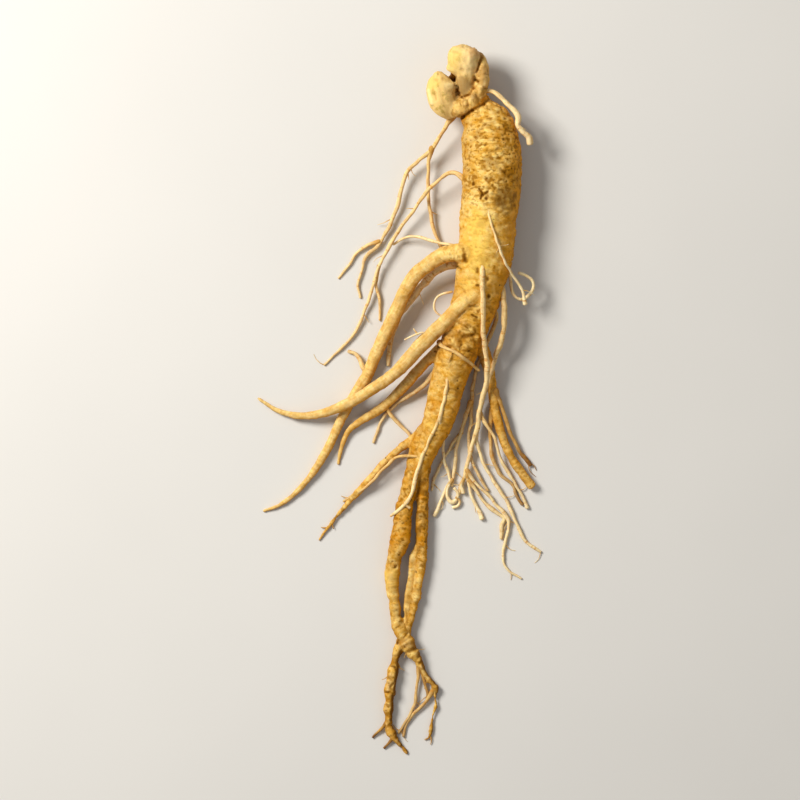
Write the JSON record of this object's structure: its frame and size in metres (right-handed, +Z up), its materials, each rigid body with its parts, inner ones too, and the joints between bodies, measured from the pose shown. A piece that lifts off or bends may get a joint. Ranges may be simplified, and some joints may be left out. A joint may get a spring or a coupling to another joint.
{
  "type": "ginseng root",
  "caption": "Fresh ginseng root lying on its side: thick ringed body, knobbly budded head, forked legs and many fine rootlets.",
  "frame": {"origin": "under the middle of the root's bounding box, on the surface that it lies on", "axes": "+Y from the tail to the head, +X to the right seen from above, +Z up"},
  "size_m": [0.1132, 0.2818, 0.0228],
  "materials": {
    "root_skin": "matte golden yellow root skin with brown speckles and fine rings across it"
  },
  "bodies": {
    "root": {"ginseng_root": "root_skin"}
  },
  "joints": []
}
